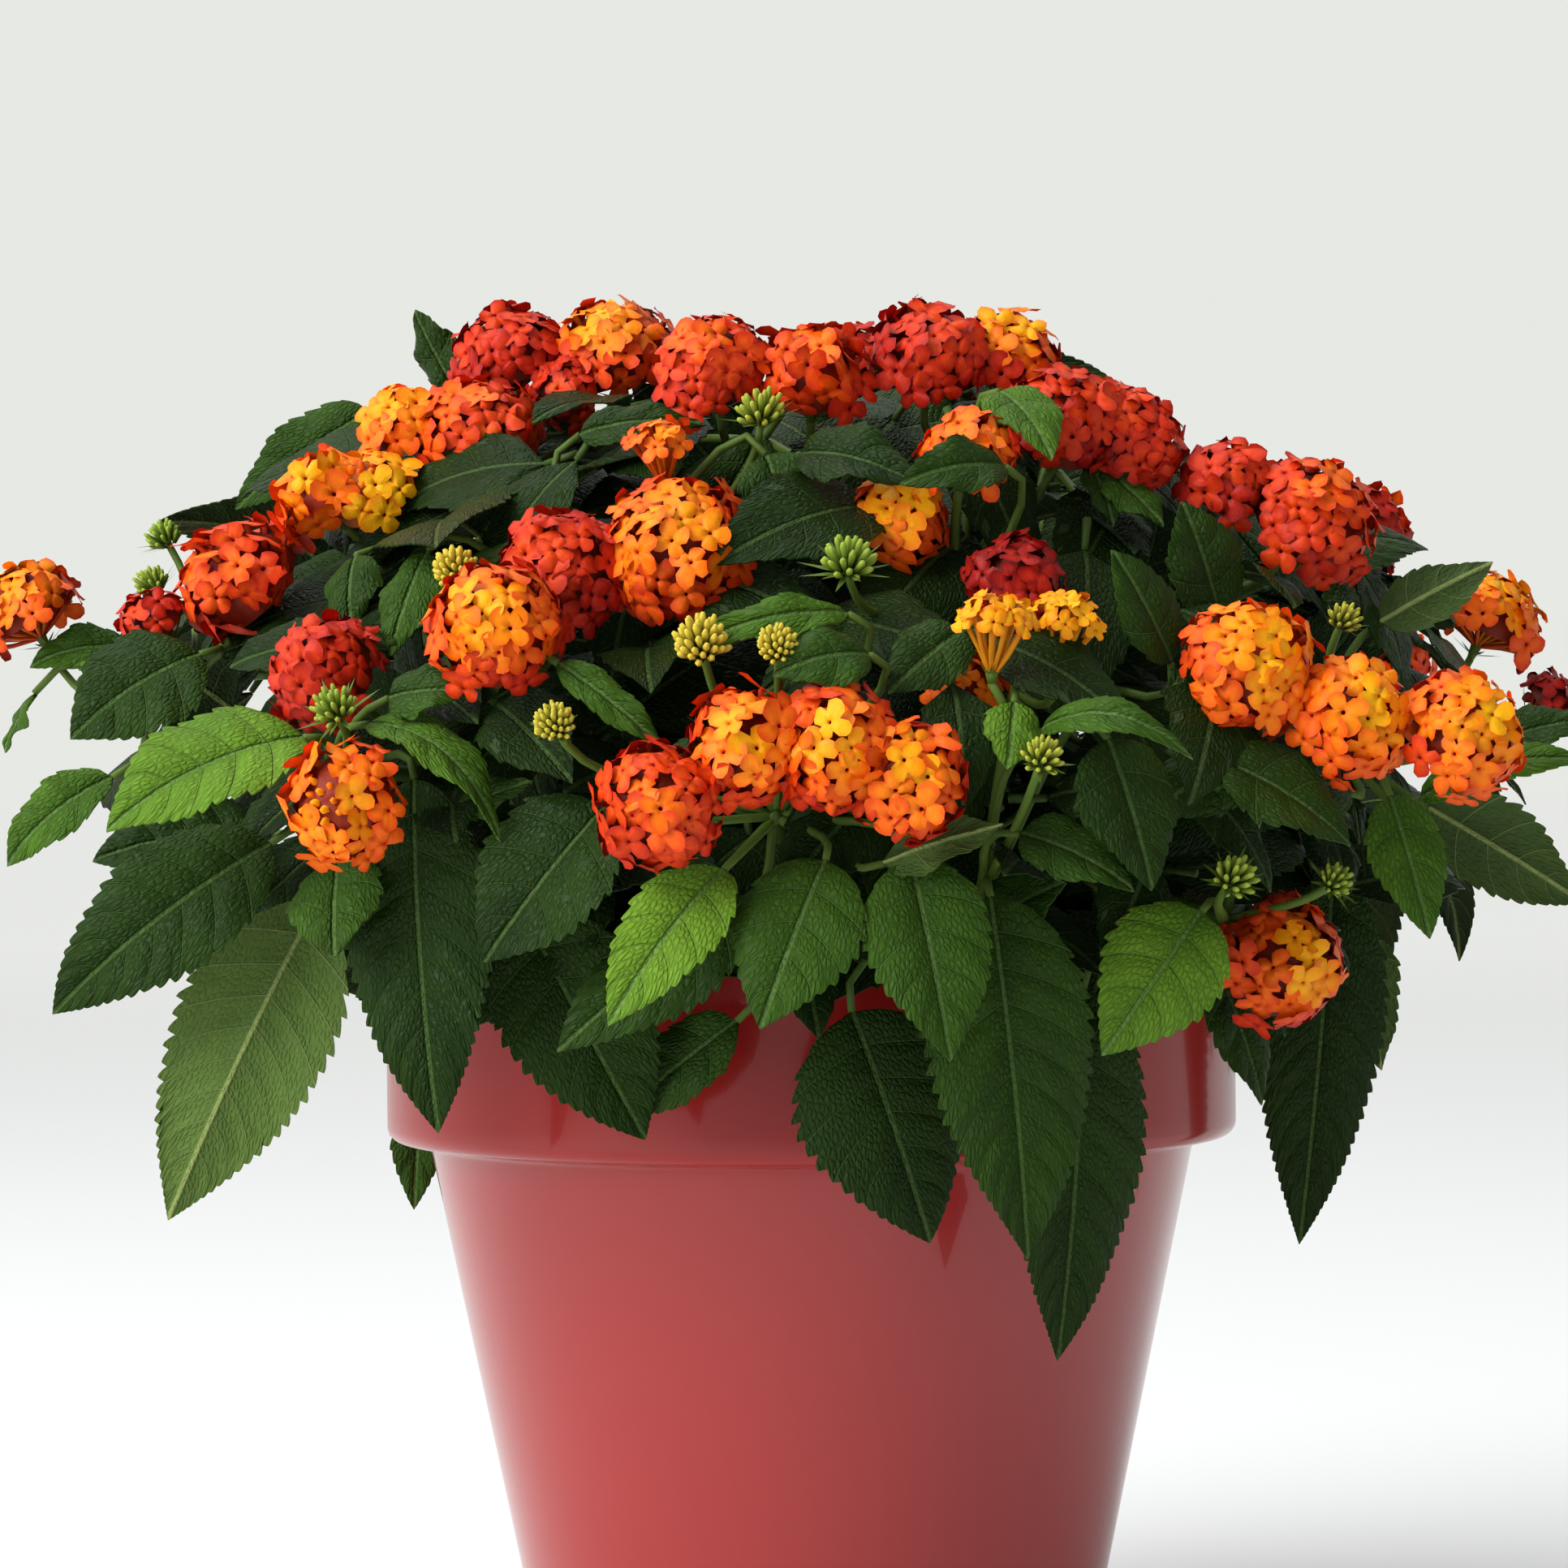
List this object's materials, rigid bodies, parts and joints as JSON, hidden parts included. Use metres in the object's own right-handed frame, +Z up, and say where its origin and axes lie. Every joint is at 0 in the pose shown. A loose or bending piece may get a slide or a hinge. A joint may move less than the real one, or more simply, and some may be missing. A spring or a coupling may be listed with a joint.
{
  "type": "potted lantana",
  "caption": "Flowering lantana bush with toothed leaves and domed clusters of small four-lobed florets, growing in a round glossy pot with a tall collar and a flat foot.",
  "frame": {"origin": "middle of the pot's flat foot", "axes": "+Z up along the pot's axis, the plant's front faces -Y"},
  "size_m": [0.3792, 0.3656, 0.3323],
  "materials": {
    "pot": "gloss",
    "soil": "matte",
    "bark": "matte",
    "leaf": "satin",
    "floret_gold": "satin",
    "floret_orange": "satin",
    "floret_scarlet": "satin",
    "floret_crimson": "satin"
  },
  "bodies": {
    "root": {"pot": "pot", "soil": "soil", "crown": "bark", "shoot_left": "leaf", "shoot_left_front": "leaf", "shoot_low_left": "leaf", "shoot_top_left": "leaf", "shoot_mid_left": "leaf", "shoot_top_middle": "leaf", "shoot_front": "leaf", "shoot_mid_right": "leaf", "shoot_top_right": "leaf", "shoot_high_right": "leaf", "shoot_right_front": "leaf", "shoot_right": "leaf", "shoot_low_right": "leaf", "shoot_low_front": "leaf", "shoot_back_right": "leaf", "shoot_back_high_right": "leaf", "shoot_back_middle": "leaf", "shoot_back_top": "leaf", "shoot_back_left": "leaf", "shoot_back_high_left": "leaf", "shoot_crown_top": "leaf", "bloom_01_gold": "floret_gold", "bloom_02_scarlet": "floret_scarlet", "bloom_03_gold": "floret_gold", "bloom_04_scarlet": "floret_scarlet", "bloom_05_scarlet": "floret_scarlet", "bloom_06_scarlet": "floret_scarlet", "bloom_07_scarlet": "floret_scarlet", "bloom_08_scarlet": "floret_scarlet", "bloom_09_orange": "floret_orange", "bloom_10_orange": "floret_orange", "bloom_11_crimson": "floret_crimson", "bloom_12_gold": "floret_gold", "bloom_13_gold": "floret_gold", "bloom_14_orange": "floret_orange", "bloom_15_orange": "floret_orange", "bloom_16_scarlet": "floret_scarlet", "bloom_17_crimson": "floret_crimson", "bloom_18_gold": "floret_gold", "bloom_19_orange": "floret_orange", "bloom_20_orange": "floret_orange", "bloom_21_gold": "floret_gold", "bloom_22_crimson": "floret_crimson", "bloom_23_orange": "floret_orange", "bloom_24_orange": "floret_orange", "bloom_25_scarlet": "floret_scarlet", "bloom_26_orange": "floret_orange", "bloom_27_scarlet": "floret_scarlet", "bloom_28_gold": "floret_gold", "bloom_29_scarlet": "floret_scarlet", "bloom_30_orange": "floret_orange", "bloom_31_crimson": "floret_crimson", "bloom_32_scarlet": "floret_scarlet", "bloom_33_orange": "floret_orange", "bloom_34_gold": "floret_gold", "bloom_35_scarlet": "floret_scarlet", "bloom_36_orange": "floret_orange"}
  },
  "joints": []
}
